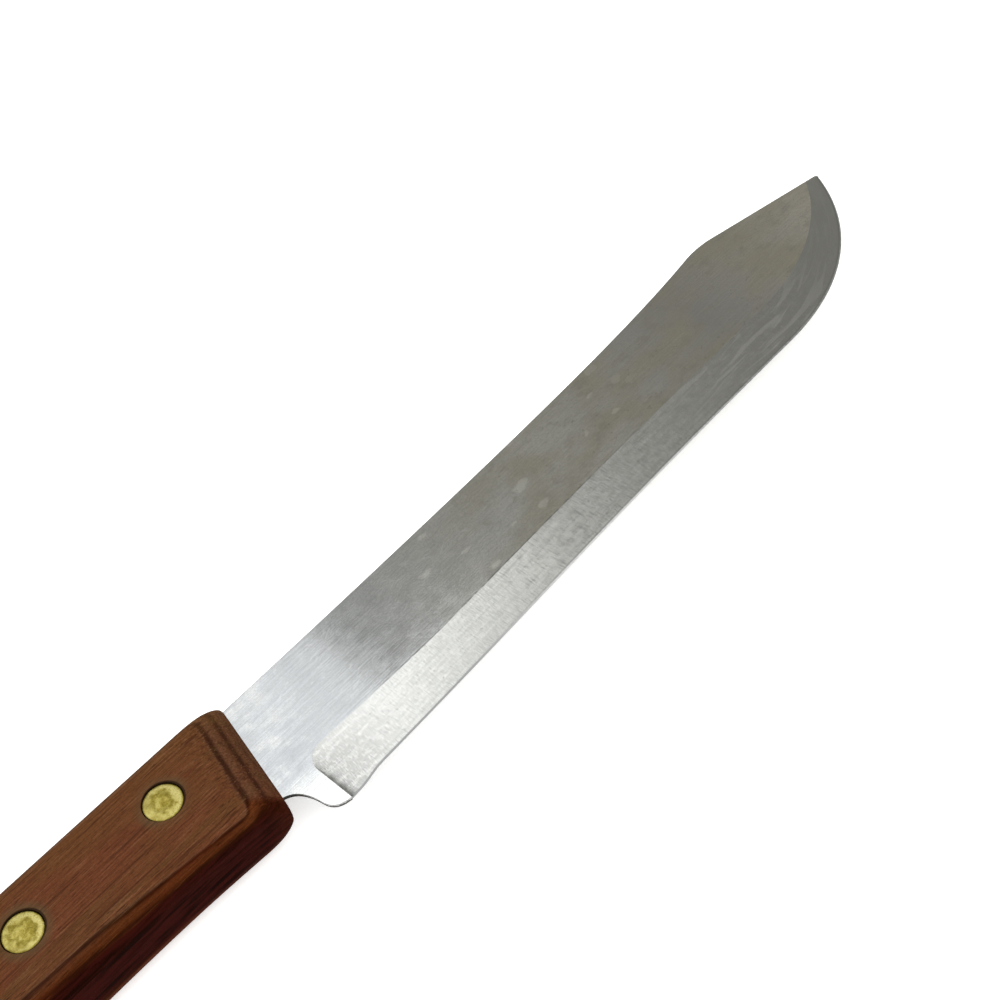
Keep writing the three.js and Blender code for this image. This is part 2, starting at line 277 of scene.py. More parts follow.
def spine_at(x):
    return min(float(np.interp(x, SPINE[:, 0], SPINE[:, 1])), BLADE_TOP)


def edge_at(x):
    return float(np.interp(x, EDGE[:, 0], EDGE[:, 1]))


def corner_inset(distance, radius):
    """How far a rounded corner draws in, at a distance from its end."""
    left = clamp(radius - distance, 0, radius)
    return radius - math.sqrt(radius ** 2 - left ** 2)


# Meshes
def new_object(name, points, faces):
    mesh = bpy.data.meshes.new(name)
    mesh.from_pydata([in_frame(point) for point in points], [], faces)
    piece = bpy.data.objects.new(name, mesh)
    bpy.context.scene.collection.objects.link(piece)
    return piece


def loft(name, rings):
    """A closed skin through rings that follow each other along X, with the faces of each strip in turn."""
    count = len(rings[0])
    faces = []
    for ring in range(len(rings) - 1):
        for step in range(count):
            here = ring * count + step
            following = ring * count + (step + 1) % count
            faces.append((here, following, following + count, here + count))
    last = (len(rings) - 1) * count
    faces.append(tuple(range(count))[::-1])
    faces.append(tuple(range(last, last + count)))
    return new_object(name, [point for ring in rings for point in ring], faces)


def turned(name, profile, centre):
    """A turned solid about an axis along Z, from the radius and height of a profile that ends on it."""
    points = []
    rows = []
    for radius, height in profile:
        if radius == 0:
            rows.append([len(points)] * ROUND_STEPS)
            points.append((centre[0], centre[1], height))
            continue
        rows.append([len(points) + step for step in range(ROUND_STEPS)])
        for step in range(ROUND_STEPS):
            angle = 2 * math.pi * step / ROUND_STEPS
            x = centre[0] + radius * math.cos(angle)
            y = centre[1] + radius * math.sin(angle)
            points.append((x, y, height))
    faces = []
    for low, high in zip(rows, rows[1:]):
        for step in range(ROUND_STEPS):
            after = (step + 1) % ROUND_STEPS
            corners = (low[step], low[after], high[after], high[step])
            faces.append(tuple(dict.fromkeys(corners)))
    piece = new_object(name, points, faces)
    outward(piece)
    return piece


def outward(piece):
    """Turns every face to the outside."""
    work = bmesh.new()
    work.from_mesh(piece.data)
    bmesh.ops.recalc_face_normals(work, faces=work.faces)
    work.to_mesh(piece.data)
    work.free()


def cut(piece, *tools):
    """Cuts the tools out of the piece and removes them."""
    for tool in tools:
        modifier = piece.modifiers.new("cut", "BOOLEAN")
        modifier.operation = "DIFFERENCE"
        modifier.solver = "EXACT"
        modifier.object = tool
    evaluated = piece.evaluated_get(bpy.context.evaluated_depsgraph_get())
    result = bpy.data.meshes.new_from_object(evaluated)
    piece.modifiers.clear()
    piece.data = result
    result.name = piece.name
    for tool in tools:
        bpy.data.objects.remove(tool)


def smooth(piece):
    """Shades the piece smooth, with its edges left sharp where they are steep or two finishes meet."""
    work = bmesh.new()
    work.from_mesh(piece.data)
    for face in work.faces:
        face.smooth = True
    for edge in work.edges:
        finishes = {face.material_index for face in edge.link_faces}
        edge.smooth = len(finishes) == 1 and edge.calc_face_angle(0) < math.radians(SHARP_ANGLE)
    work.to_mesh(piece.data)
    work.free()


# Finishes
def srgb(red, green, blue):
    """A colour from 0 to 255 as seen, in the linear values that shaders take."""
    def linear(value):
        share = value / 255
        return share / 12.92 if share <= 0.04045 else ((share + 0.055) / 1.055) ** 2.4
    return (linear(red), linear(green), linear(blue), 1.0)


def fill_ramp(ramp, stops):
    """Gives a colour ramp its stops, each a place and a colour, in order."""
    elements = ramp.color_ramp.elements
    while len(elements) < len(stops):
        elements.new(0.5)
    for element, (place, colour) in zip(elements, stops):
        element.position = place
        element.color = colour


class Finish:
    """A material under construction: a Principled shader and the nodes that feed it.

    Patterns follow the knife's own millimetres, so their sizes are real ones.
    """

    def __init__(self, name, constants):
        self.material = bpy.data.materials.new(name)
        self.material.use_nodes = True
        self.nodes = self.material.node_tree.nodes
        self.shader = self.nodes["Principled BSDF"]
        for socket, value in constants.items():
            self.shader.inputs[socket].default_value = value
        place = self.nodes.new("ShaderNodeTexCoord").outputs["Object"]
        self.knife = self.node("ShaderNodeMapping", {
            "Vector": place, "Scale": (1 / MM,) * 3, "Location": -ORIGIN / MM,
        }).outputs[0]
        self.x, self.y, self.z = self.axes(self.knife)

    def node(self, kind, inputs, **settings):
        node = self.nodes.new(kind)
        for name, value in settings.items():
            setattr(node, name, value)
        for name, value in inputs.items():
            self.feed(node.inputs[name], value)
        return node

    def feed(self, socket, value):
        if isinstance(value, bpy.types.NodeSocket):
            self.material.node_tree.links.new(value, socket)
        else:
            socket.default_value = value

    def set(self, socket, value):
        self.feed(self.shader.inputs[socket], value)

    def attribute(self, name, kind="Vector"):
        return self.node("ShaderNodeAttribute", {}, attribute_name=name).outputs[kind]

    def axes(self, vector):
        return self.node("ShaderNodeSeparateXYZ", {"Vector": vector}).outputs

    def stretched(self, vector, size, turn=0):
        """A pattern's own coordinates, one for each size along its axes, turned about Z."""
        return self.node("ShaderNodeMapping", {
            "Vector": vector, "Scale": size, "Rotation": (0, 0, math.radians(turn)),
        }, vector_type="TEXTURE").outputs[0]

    def noise(self, vector, size, detail=2.0, roughness=0.5, distortion=0.0, turn=0):
        return self.node("ShaderNodeTexNoise", {
            "Vector": self.stretched(vector, size, turn), "Scale": 1.0, "Detail": detail,
            "Roughness": roughness, "Distortion": distortion,
        }).outputs["Fac"]

    def between(self, value, low, high, to_low=0.0, to_high=1.0):
        return self.node("ShaderNodeMapRange", {
            "Value": value, "From Min": low, "From Max": high, "To Min": to_low, "To Max": to_high,
        }, interpolation_type="SMOOTHSTEP").outputs[0]

    def math(self, operation, *values):
        return self.node("ShaderNodeMath", dict(enumerate(values)), operation=operation).outputs[0]

    def product(self, first, *others):
        for other in others:
            first = self.math("MULTIPLY", first, other)
        return first

    def total(self, first, *others):
        for other in others:
            first = self.math("ADD", first, other)
        return first

    def blend(self, share, a, b, kind="MIX"):
        mix = self.node("ShaderNodeMix", {0: share, 6: a, 7: b}, data_type="RGBA", blend_type=kind)
        return mix.outputs[2]

    def ramp(self, value, stops):
        node = self.node("ShaderNodeValToRGB", {"Fac": value})
        fill_ramp(node, stops)
        return node.outputs["Color"]

    def tones(self, place, length, tones):
        """The colour at a place along a length, from a list of places and colours."""
        share = self.math("DIVIDE", place, length)
        return self.ramp(share, [(at / length, colour) for at, colour in tones])

    def bump(self, height, depth):
        """Normals of a relief as deep as given, in millimetres."""
        return self.node("ShaderNodeBump", {
            "Height": height, "Distance": depth * MM, "Strength": 1.0,
        }).outputs[0]

    def scratches(self, turn):
        """Short thin lines at an angle to the blade, 1 on a line and 0 beside it."""
        field = self.noise(self.knife, (20, 1.6, 1.6), detail=1, turn=turn)
        off_line = self.math("ABSOLUTE", self.math("SUBTRACT", field, 0.5))
        kept = self.between(self.noise(self.knife, (4, 4, 4), turn=turn), 0.6, 0.66)
        return self.product(self.between(off_line, 0.05, 0.015), kept)

    def spots(self):
        """Dried drops, 1 inside and 0 outside."""
        push = self.node("ShaderNodeTexNoise", {"Vector": self.knife, "Scale": 0.25}).outputs["Color"]
        place = self.node("ShaderNodeVectorMath", {
            0: push, 1: (3, 3, 0), 2: self.knife,
        }, operation="MULTIPLY_ADD").outputs[0]
        cells = self.node("ShaderNodeTexVoronoi", {
            "Vector": self.stretched(place, (10, 5, 1), 9), "Scale": 1.0,
        }, voronoi_dimensions="2D")
        chance, reach, _ = self.axes(cells.outputs["Color"])
        chosen = self.between(chance, 0.6, 0.62)
        edge = self.math("SUBTRACT", cells.outputs["Distance"], self.between(reach, 0, 1, 0.07, 0.16))
        return self.product(chosen, self.between(edge, 0.06, -0.01))

    def from_rivet(self, shift=0.0):
        """Distance from the axis of the nearest rivet, with that axis shifted along X."""
        half = RIVET_PITCH / 2
        along = self.math("WRAP", self.math("ADD", self.x, RIVET_FRONT - shift), half, -half)
        across = self.math("SUBTRACT", self.y, RIVET_Y)
        return self.math("SQRT", self.total(self.product(along, along), self.product(across, across)))


PATINA_AND_PAINTED_REFLECTION = [  # place along the blade, and the colour of its flat there: partly film, partly painted reflection that brightens and dims along the blade
    (0, srgb(173, 176, 179)),
    (16, srgb(160, 163, 166)),
    (32, srgb(190, 193, 194)),
    (52, srgb(188, 189, 186)),
    (92, srgb(184, 183, 176)),
    (145, srgb(153, 152, 147)),
    (195, srgb(187, 182, 170)),
]


def flat_steel():
    """The sides of the plate: brushed along the blade, smudged by the handle, filmed towards the tip."""
    steel = Finish("steel_flat", {"Metallic": 1.0})
    strokes = steel.noise(steel.knife, (14, 0.45, 0.45), detail=2)
    hairlines = steel.noise(steel.knife, (6, 0.16, 0.16), detail=1)
    smudges = steel.noise(steel.knife, (5, 3.6, 3.6), detail=5, roughness=0.6)
    film = steel.noise(steel.knife, (20, 11, 11), detail=4)
    blotches = steel.noise(steel.knife, (6, 4, 4), detail=5, roughness=0.7)
    grain = steel.noise(steel.knife, (0.4, 0.3, 0.3))
    pits = steel.noise(steel.knife, (1.0, 0.8, 0.8), detail=2)
    behind_slant = steel.math("SUBTRACT", steel.x, steel.product(steel.y, FRONT_SLANT))
    by_handle = steel.between(behind_slant, 18, 3)
    on_tab = steel.product(steel.between(steel.x, 9, 3), steel.between(steel.y, -22, -28))
    along = steel.between(steel.x, 48, 85)
    scratches = steel.total(steel.scratches(28), steel.scratches(-35))
    ragged = steel.noise(steel.knife, (1.6, 0.5, 0.5), detail=3)
    # painted shade: a thin, ragged dark line on the flat along the grind line
    dark_strip = steel.product(
        steel.between(steel.attribute("above_grind", "Fac"), 0.45, 0.15), steel.between(ragged, 0.4, 0.6),
        steel.between(steel.x, 20, 34), steel.between(steel.x, 125, 70),
    )
    spots = steel.product(steel.spots(), steel.between(steel.x, 42, 50), steel.between(steel.x, 125, 110))

    # the flat's tones along the blade, partly painted reflection
    colour = steel.tones(steel.x, BLADE_LENGTH, PATINA_AND_PAINTED_REFLECTION)
    filmed = steel.product(along, steel.between(film, 0.38, 0.64, 0, 0.7))
    colour = steel.blend(filmed, colour, srgb(164, 159, 139))
    blotched = steel.product(along, steel.between(blotches, 0.5, 0.66, 0, 0.5))
    colour = steel.blend(blotched, colour, srgb(150, 146, 134))
    # painted shade on the flat next to the handle's nose
    by_nose = steel.between(behind_slant, 5, 1, 0, 0.7)
    colour = steel.blend(by_nose, colour, srgb(159, 163, 166))
    # painted shade: a darker cloud on the flat just ahead of the plunge, low by the heel
    painted_shade_by_plunge = steel.product(steel.between(steel.x, 12, 6), steel.between(steel.y, -13, -17))
    colour = steel.blend(steel.product(painted_shade_by_plunge, 0.6), colour, srgb(156, 160, 165))
    pale = steel.product(by_handle, steel.between(smudges, 0.5, 0.64, 0, 0.65))
    colour = steel.blend(pale, colour, srgb(188, 189, 189))
    dull = steel.product(by_handle, steel.between(smudges, 0.46, 0.34, 0, 0.6))
    colour = steel.blend(dull, colour, srgb(149, 152, 157))
    colour = steel.blend(steel.product(on_tab, 0.8), colour, srgb(206, 208, 207))
    brushed = steel.between(steel.x, 42, 28, 0.08, 0.28)
    light_strokes = steel.product(brushed, steel.between(strokes, 0.5, 0.64))
    colour = steel.blend(light_strokes, colour, srgb(186, 189, 192))
    dark_strokes = steel.product(brushed, steel.between(strokes, 0.48, 0.36))
    colour = steel.blend(dark_strokes, colour, srgb(146, 149, 152))
    colour = steel.blend(steel.between(hairlines, 0.42, 0.64, 0, 0.22), colour, srgb(134, 136, 136))
    colour = steel.blend(steel.between(grain, 0.4, 0.64, 0, 0.25), colour, srgb(139, 139, 136))
    pitted = steel.product(along, steel.between(pits, 0.66, 0.74, 0, 0.35))
    colour = steel.blend(pitted, colour, srgb(120, 117, 105))
    colour = steel.blend(steel.product(spots, 0.3), colour, srgb(205, 204, 196))
    scored = steel.product(
        scratches, steel.between(steel.x, 85, 50, 0, 0.22), steel.between(steel.x, 5, 30, 0.4),
    )
    colour = steel.blend(scored, colour, srgb(212, 213, 214))
    steel.set("Base Color", steel.blend(steel.product(dark_strip, 0.6), colour, srgb(90, 91, 91)))
    steel.set("Roughness", steel.total(
        steel.between(smudges, 0.3, 0.7, 0.08, 0.12), steel.between(hairlines, 0.3, 0.7, 0, 0.02),
        steel.product(spots, 0.04),
    ))
    lines = steel.total(strokes, steel.product(hairlines, 0.3))
    steel.set("Normal", steel.bump(lines, 0.004))
    return steel.material


BEVEL_TONES = [  # place along the edge, and the colour of the bevel there: painted reflection that falls off towards the tip, with painted shade by the plunge
    (3, srgb(138, 139, 137)),
    (22, srgb(173, 174, 172)),
    (36, srgb(163, 164, 161)),
    (48, srgb(166, 167, 164)),
    (66, srgb(192, 193, 190)),
    (90, srgb(180, 181, 178)),
    (125, srgb(168, 169, 165)),
    (150, srgb(132, 132, 127)),
    (200, srgb(142, 142, 137)),
]


def bevel_steel():
    """The hollow bevel: ground square to the edge, stroked along it, and wavy round the belly."""
    steel = Finish("steel_bevel", {"Metallic": 1.0})
    ground = steel.attribute("ground")
    along_edge, from_edge, _ = steel.axes(ground)
    across = steel.noise(ground, (0.24, 3, 1), detail=1)
    along = steel.noise(ground, (16, 0.6, 1), detail=3, roughness=0.6)
    hatching = steel.noise(ground, (0.2, 1.4, 1), detail=1, turn=-5)
    patches = steel.noise(ground, (2.5, 1.5, 1), detail=5, roughness=0.6)
    pits = steel.noise(ground, (1.1, 0.9, 1), detail=3, roughness=0.6)
    waves = steel.noise(ground, (20, 2, 1), detail=3, distortion=1.0)
    on_belly = steel.between(along_edge, 85, 135)
    by_heel = steel.between(along_edge, 65, 25)

    colour = steel.tones(along_edge, BLADE_LENGTH, BEVEL_TONES)
    colour = steel.blend(steel.between(across, 0.5, 0.66, 0, 0.45), colour, srgb(140, 141, 140))
    colour = steel.blend(steel.between(hatching, 0.48, 0.34, 0, 0.45), colour, srgb(194, 195, 194))
    colour = steel.blend(steel.between(along, 0.5, 0.66, 0, 0.25), colour, srgb(142, 144, 142))
    colour = steel.blend(steel.between(along, 0.48, 0.34, 0, 0.2), colour, srgb(194, 195, 194))
    mottled = steel.between(along_edge, 70, 30, 0.15, 0.5)
    pale = steel.product(mottled, steel.between(patches, 0.5, 0.64))
    colour = steel.blend(pale, colour, srgb(190, 191, 189))
    dull = steel.product(mottled, steel.between(patches, 0.46, 0.34))
    colour = steel.blend(dull, colour, srgb(151, 152, 150))
    # painted highlight on the bevel along the grind line by the heel
    by_line = steel.product(by_heel, steel.between(from_edge, 8, 11, 0, 0.15))
    colour = steel.blend(by_line, colour, srgb(193, 194, 193))
    colour = steel.blend(steel.between(pits, 0.64, 0.73, 0, 0.5), colour, srgb(112, 112, 112))
    # painted reflection fall-off: the bevel darker round the belly
    colour = steel.blend(steel.product(on_belly, 0.7), colour, srgb(147, 147, 143))
    wavy = steel.product(on_belly, steel.between(waves, 0.5, 0.62, 0, 0.6))
    colour = steel.blend(wavy, colour, srgb(172, 172, 169))
    # painted reflection fall-off: darker again towards the tip
    colour = steel.blend(steel.between(along_edge, 150, 185, 0, 0.8), colour, srgb(143, 143, 139))
    # a darker strip on the bevel just above the honed land, fading in from 35 mm along the edge
    dark_strip = steel.product(steel.between(along_edge, 35, 70), steel.between(from_edge, 0.9, 0.5, 0, 0.4))
    steel.set("Base Color", steel.blend(dark_strip, colour, srgb(102, 103, 101)))
    steel.set("Roughness", steel.between(patches, 0.3, 0.7, 0.18, 0.24))
    lines = steel.total(across, steel.product(along, 0.8), steel.product(waves, on_belly))
    steel.set("Normal", steel.bump(lines, 0.005))
    return steel.material


def honed_steel():
    """The narrow honed strip beside the edge, painted darker by the heel as shade."""
    steel = Finish("steel_honed", {"Metallic": 1.0})
    ground = steel.attribute("ground")
    strokes = steel.noise(ground, (0.8, 0.3, 1), detail=3)
    # painted light: 0 by the heel, where the land is painted darker as shade, rising to 1 from 75 mm on
    painted_light = steel.between(steel.axes(ground)[0], 35, 75)
    colour = steel.blend(steel.between(strokes, 0.35, 0.7), srgb(157, 158, 157), srgb(183, 184, 184))
    steel.set("Base Color", steel.blend(painted_light, srgb(126, 128, 128), colour))
    steel.set("Roughness", steel.between(strokes, 0.3, 0.7, 0.16, 0.26))
    steel.set("Normal", steel.bump(strokes, 0.004))
    return steel.material


def sheared_steel():
    """The stamped rim of the plate: burnished above, and darker and rougher towards the bottom, with painted
    shade along the lower corner.
    """
    steel = Finish("steel_sheared", {"Metallic": 1.0})
    tearing = steel.noise(steel.knife, (0.45, 0.45, 1.4), detail=4)
    grime = steel.noise(steel.knife, (3.3, 3.3, 0.7), detail=3)
    # painted shade: the lower part of the rim is darker, with a ragged border
    ragged = steel.total(steel.z, steel.between(tearing, 0.2, 0.8, -0.2, 0.2))
    lower_band = steel.between(ragged, 0.1, -0.15)
    # painted shade in the corner of the choil ahead of the handle
    in_corner = steel.product(steel.between(steel.x, -1.5, -3.5), steel.between(steel.y, -16, -20))
    on_tang = steel.between(steel.x, -1, -5, 0, 0.75)
    colour = steel.blend(steel.between(tearing, 0.3, 0.7), srgb(143, 143, 142), srgb(165, 166, 165))
    colour = steel.blend(steel.between(steel.y, -14, -6, 0, 0.85), colour, srgb(40, 39, 37))
    colour = steel.blend(on_tang, colour, srgb(108, 105, 99))
    colour = steel.blend(lower_band, colour, srgb(56, 55, 53))
    colour = steel.blend(steel.between(grime, 0.5, 0.7, 0, 0.5), colour, srgb(71, 68, 63))
    # painted shade in the choil's corner
    steel.set("Base Color", steel.blend(in_corner, colour, srgb(35, 33, 30)))
    steel.set("Roughness", steel.between(lower_band, 0, 1, 0.3, 0.6))
    steel.set("Normal", steel.bump(tearing, 0.03))
    return steel.material


LAYER_TILT = 0.025  # how far the wood's layers rise per millimetre towards the belly
LAYER_LEVEL = -13  # height where the tilted layers have their own depth
LAYER_BEND = (-1.0, 0.75)  # shift of the layers along the belly, from the nose to the rear
SIDE_WOOD = srgb(97, 60, 36)
PALE_WOOD = srgb(95, 63, 43)
BROWN_WOOD = srgb(80, 50, 31)
DARK_LINE = srgb(46, 25, 14)
CORE_WOOD = srgb(75, 41, 27)
OUTER_LAYERS = [  # depth below either side, and colour
    (0.65, SIDE_WOOD), (0.75, PALE_WOOD), (0.88, DARK_LINE), (1.12, DARK_LINE), (1.4, PALE_WOOD),
    (1.8, PALE_WOOD), (2.3, BROWN_WOOD), (2.58, DARK_LINE), (2.9, DARK_LINE), (3.15, BROWN_WOOD),
    (3.6, PALE_WOOD), (4.6, BROWN_WOOD), (5.3, PALE_WOOD), (6.4, BROWN_WOOD), (8.0, CORE_WOOD),
]
FAR_LAYERS = [(HANDLE_THICKNESS - depth, colour) for depth, colour in reversed(OUTER_LAYERS)]
BELLY_SKIN = (0.85, 1.05)  # depth at which the belly turns darker, below either side
BELLY_STAIN_AND_SHADE = (0.68, 0.4, 0.2, 1)  # what that darker wood keeps of red, green and blue: partly its own stain, partly painted shade
GREASE_AND_SHADE_STARTS = (2.5, 3.4)  # depth at which grease and painted shade come in on the belly
GREASE_AND_SHADE_ENDS = (15, 12.5)  # and at which they run out towards the far side


def layered_wood():
    """Oiled wood whose growth layers lie nearly parallel to the handle's sides, darkened on the belly by
    stain, grease and painted shade.
    """
    wood = Finish("wood_layered", {"Specular IOR Level": 0.005})
    fibres = wood.noise(wood.knife, (9, 0.36, 0.36), detail=3, roughness=0.6)
    streaks = wood.noise(wood.knife, (34, 0.9, 0.9), detail=2, distortion=0.3)
    pores = wood.noise(wood.knife, (2.4, 0.2, 0.2), detail=1)
    grain = wood.noise(wood.knife, (0.5, 0.25, 0.25), detail=2)
    tint = wood.noise(wood.knife, (30, 8, 8), detail=3)
    bands = wood.noise(wood.knife, (60, 3, 3), detail=4, roughness=0.6, distortion=0.4)
    smears = wood.noise(wood.knife, (13, 1.1, 1.1), detail=4, roughness=0.65)
    warp = wood.noise(wood.knife, (25, 8, 8))
    under = wood.math("SUBTRACT", HALF_HANDLE, wood.z)

    behind_slant = wood.math("SUBTRACT", wood.x, wood.product(wood.y, FRONT_SLANT))
    below_mitre = wood.total(wood.y, wood.between(behind_slant, -10, -5, 0, 5.5))
    below_corner = wood.total(wood.y, wood.between(behind_slant, -10, 1, 0, 3.5))
    on_belly = wood.between(below_corner, -21.5, -24)
    depth = wood.total(
        under,
        wood.product(wood.math("SUBTRACT", LAYER_LEVEL, wood.y), LAYER_TILT),
        wood.product(
            wood.between(below_mitre, -19, -24.5), wood.between(wood.x, -10, -62, *LAYER_BEND),
        ),
        wood.between(warp, 0.2, 0.8, -0.12, 0.12),
        wood.between(fibres, 0.2, 0.8, -0.06, 0.06),
    )
    colour = wood.tones(depth, HANDLE_THICKNESS, OUTER_LAYERS + FAR_LAYERS)
    colour = wood.blend(wood.between(tint, 0.42, 0.62, 0, 0.45), colour, srgb(103, 55, 38))
    colour = wood.blend(wood.between(bands, 0.5, 0.68, 0, 0.55), colour, srgb(82, 60, 33))
    # painted light: lighter and more orange towards the top of the handle
    colour = wood.blend(wood.between(wood.y, -9, -1, 0, 0.45), colour, srgb(101, 70, 36))
    colour = wood.blend(wood.between(streaks, 0.56, 0.66, 0, 0.55), colour, srgb(55, 29, 18))
    colour = wood.blend(wood.between(fibres, 0.48, 0.64, 0, 0.45), colour, srgb(66, 36, 22))
    colour = wood.blend(wood.between(fibres, 0.45, 0.32, 0, 0.35), colour, srgb(132, 93, 66))
    colour = wood.blend(wood.between(pores, 0.6, 0.7, 0, 0.6), colour, srgb(42, 23, 14))
    colour = wood.blend(wood.between(grain, 0.4, 0.62, 0, 0.3), colour, srgb(60, 35, 23))

    # the belly's darker wood and its grease are partly painted shade, weaker towards the nose
    far_skin = [HANDLE_THICKNESS - skin for skin in BELLY_SKIN]
    inner = wood.product(on_belly, wood.between(depth, *BELLY_SKIN), wood.between(depth, *far_skin))
    colour = wood.blend(wood.product(inner, 0.9), colour, BELLY_STAIN_AND_SHADE, "MULTIPLY")
    handled_and_shaded = wood.product(
        on_belly, wood.between(depth, *GREASE_AND_SHADE_STARTS), wood.between(depth, *GREASE_AND_SHADE_ENDS),
    )
    grease_and_shade = wood.blend(wood.between(smears, 0.36, 0.62), srgb(15, 2, 1), srgb(45, 11, 8))
    by_nose = wood.between(wood.x, -13, -6, 0.95, 0.7)
    colour = wood.blend(wood.product(handled_and_shaded, by_nose), colour, grease_and_shade)
    stained = wood.product(
        wood.between(wood.from_rivet(), 6.4, 4.4), wood.between(tint, 0.35, 0.6, 0.1, 0.5),
    )
    colour = wood.blend(stained, colour, srgb(80, 70, 48))
    # painted shade: a dark ring round each head, shifted towards the blade so that it is thicker on that
    # side
    painted_shade_ring = wood.between(wood.from_rivet(0.2), 4.4, 4.15, 0, 0.8)
    colour = wood.blend(painted_shade_ring, colour, srgb(30, 21, 14))
    # painted shade on the wood beside the tang, along the slot
    by_tang = wood.product(
        wood.between(wood.math("ABSOLUTE", wood.z), 1.4, 0.8, 0, 0.85), wood.between(wood.y, -26, -24.5),
    )
    painted_shade_by_tang = wood.product(by_tang, wood.between(wood.x, -TANG_LENGTH - 2, -TANG_LENGTH))
    wood.set("Base Color", wood.blend(painted_shade_by_tang, colour, srgb(52, 44, 38)))
    wood.set("Roughness", wood.between(fibres, 0.3, 0.7, 0.45, 0.6))
    relief = wood.math("SUBTRACT", fibres, wood.between(pores, 0.6, 0.75, 0, 0.8))
    wood.set("Normal", wood.bump(relief, 0.03))
    return wood.material


def filed_brass():
    """Brass heads, filed flush, dull and mottled, with a painted highlight in a ring that is widest towards
    the blade.
    """
    brass = Finish("brass_filed", {"Metallic": 1.0})
    mottle = brass.noise(brass.knife, (1.3, 1.3, 1.3), detail=4, roughness=0.65)
    specks = brass.noise(brass.knife, (0.35, 0.35, 0.35), detail=3)
    strokes = brass.noise(brass.knife, (1.6, 0.15, 0.15), turn=35)
    radius = brass.from_rivet()
    dents = brass.noise(brass.knife, (2.1, 2.1, 2.1), detail=3)
    uneven = brass.total(radius, brass.between(dents, 0.25, 0.75, -0.7, 0.7))
    colour = brass.ramp(mottle, [
        (0.32, srgb(101, 90, 33)), (0.46, srgb(130, 118, 50)), (0.58, srgb(162, 151, 81)),
        (0.7, srgb(180, 170, 104)),
    ])
    groove = brass.product(brass.between(uneven, 1.6, 2.1), brass.between(uneven, 2.7, 2.2))
    colour = brass.blend(brass.product(groove, 0.35), colour, srgb(90, 79, 29))
    # painted highlight: a bright ring, widest towards the blade, broken by specks
    ring = brass.product(brass.between(uneven, 2.3, 3.0), brass.between(radius, 3.75, 3.4))
    painted_light = brass.product(ring, brass.between(brass.from_rivet(-1), 2.2, 4.2, 0.25, 0.9))
    painted_light = brass.product(painted_light, brass.between(specks, 0.32, 0.6, 0.2, 1))
    colour = brass.blend(painted_light, colour, srgb(188, 179, 119))
    colour = brass.blend(brass.between(specks, 0.56, 0.7, 0, 0.5), colour, srgb(84, 73, 27))
    colour = brass.blend(brass.between(radius, 3.6, 3.95, 0, 0.6), colour, srgb(83, 70, 31))
    brass.set("Base Color", colour)
    brass.set("Roughness", brass.between(mottle, 0.3, 0.7, 0.38, 0.52))
    relief = brass.total(brass.product(mottle, 2.0), specks, strokes)
    brass.set("Normal", brass.bump(relief, 0.02))
    return brass.material


# Blade
FINISH_SLOTS = ("flat", "bevel", "honed", "sheared")
UNGROUND = {"bevel": "flat", "honed": "flat"}  # what the grind leaves untouched behind the plunge
GUIDE_BACK = 30  # how far the grinding lines' guide runs on behind the honed edge
GUIDE_STEP = 0.1
SIDE_SHIFT = 40  # keeps the grinding lines of the two sides apart


def grind_height(x):
    to_width = smoothstep(x, PLUNGE_X, PLUNGE_X + BEVEL_NARROWS)
    along_belly = clamp((x - BELLY_X) / BELLY_LENGTH)
    width = lerp(lerp(BEVEL_AT_HEEL, BEVEL_WIDTH, to_width), BEVEL_AT_TIP, along_belly ** 2)
    slope = (edge_at(x + HALF_STOCK) - edge_at(x - HALF_STOCK)) / STOCK
    on_belly = math.hypot(1, slope) if along_belly > 0 else 1
    honed = max(edge_at(x), HONED_Y)
    return honed + width * on_belly - corner_inset(x - PLUNGE_X, BEVEL_CORNER)


def blade_ring(x):
    top, low = spine_at(x), edge_at(x)
    height = top - low
    eased = min(SPINE_EASED, height / 8)
    grind = min(grind_height(x), top - eased - height / 20)
    land = low + min(LAND_WIDTH, height / 5)
    run_out = clamp((x - PLUNGE_X) / PLUNGE_RUN)
    ground = math.sqrt(1 - (1 - run_out) ** 2)
    side = []
    for angle in np.linspace(0, math.pi / 2, SPINE_STEPS + 1):
        side.append((top - eased + eased * math.cos(angle), HALF_STOCK - eased + eased * math.sin(angle)))
    for share in np.linspace(0, 1, FLAT_STEPS + 1)[1:]:
        side.append((lerp(top - eased, grind, share), HALF_STOCK))
    for share in np.linspace(0, 1, HOLLOW_STEPS + 1)[1:]:
        thinned = ground * (1 - (1 - share) ** HOLLOW)
        side.append((lerp(grind, land, share), lerp(HALF_STOCK, LAND_THICKNESS / 2, thinned)))
    side.append((low, lerp(HALF_STOCK, EDGE_THICKNESS / 2, ground)))
    return [(x, y, z) for y, z in side] + [(x, y, -z) for y, z in reversed(side)]


def blade_stations():
    """Places of the blade's rings along X, closest at the plunge and the tip."""
    plunge = PLUNGE_X + PLUNGE_RUN * (1 - np.cos(np.linspace(0, math.pi / 2, PLUNGE_STATIONS)))
    belly = BELLY_X + BELLY_LENGTH * np.sin(np.linspace(0, math.pi / 2, BELLY_STATIONS))
    return np.concatenate([
        [-TANG_LENGTH],
        np.linspace(-CHOIL_RUN, PLUNGE_X, HEEL_STATIONS)[:-1],
        plunge,
        np.linspace(PLUNGE_X + PLUNGE_RUN, HONED_X, STEP_STATIONS)[1:],
        np.linspace(HONED_X, BELLY_X, EDGE_STATIONS)[1:],
        belly[1:],
    ])


def strip_finishes():
    """The finish of each strip round a ring of the ground part of the blade."""
    side = ["sheared"] * SPINE_STEPS + ["flat"] * FLAT_STEPS + ["bevel"] * HOLLOW_STEPS + ["honed"]
    return side + ["honed"] + side[::-1] + ["sheared"]


